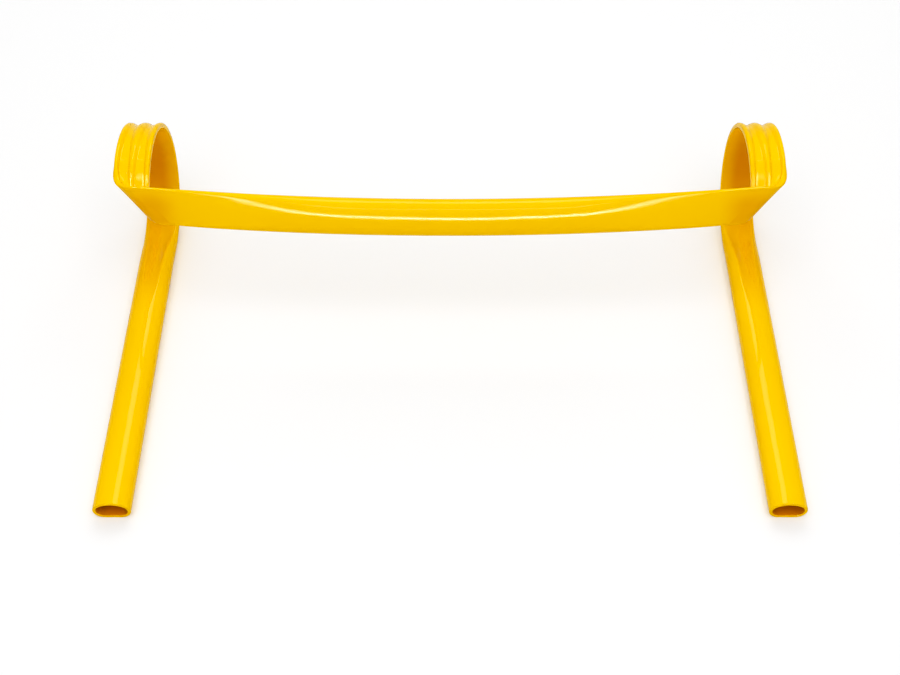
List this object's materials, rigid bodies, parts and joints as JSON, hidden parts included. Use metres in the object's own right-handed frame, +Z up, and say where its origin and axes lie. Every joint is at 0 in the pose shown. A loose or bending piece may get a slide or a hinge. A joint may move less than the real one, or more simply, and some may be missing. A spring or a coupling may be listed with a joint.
{
  "type": "speed hurdle",
  "caption": "Low training hurdle formed from flattened plastic tube: floor legs curl up into beaded spring loops and fold over into a bowed crossbar that dips when hit and springs back.",
  "frame": {"origin": "on the floor, in the middle of the footprint", "axes": "+X along the crossbar to the right, +Y to the back, +Z up; the legs point forwards, along -Y"},
  "size_m": [0.5784, 0.3607, 0.1428],
  "materials": {
    "yellow_plastic": "glossy moulded yellow plastic, light scuffs"
  },
  "bodies": {
    "left_side": {"left_leg": "yellow_plastic", "left_loop": "yellow_plastic"},
    "bar": {"left_corner": "yellow_plastic", "crossbar": "yellow_plastic", "right_corner": "yellow_plastic"},
    "right_side": {"right_leg": "yellow_plastic", "right_loop": "yellow_plastic"}
  },
  "joints": [
    {"name": "left_loop_flex", "type": "hinge", "parent": "left_side", "child": "bar", "pos_m": [-0.273, 0.1472, 0.0775], "axis": [1, 0, 0], "range_deg": [-15, 52], "stiffness_Nm_per_rad": 2.5, "springref_deg": -1.89, "deforming": ["left_loop"]},
    {"name": "right_loop_flex", "type": "hinge", "parent": "bar", "child": "right_side", "pos_m": [0.273, 0.1472, 0.0775], "axis": [1, 0, 0], "range_deg": [-52, 15], "stiffness_Nm_per_rad": 2.5, "springref_deg": 1.89, "deforming": ["right_loop"]}
  ],
  "couplings": [
    {"joint": "right_loop_flex", "follows": "left_loop_flex", "ratio": -1}
  ]
}
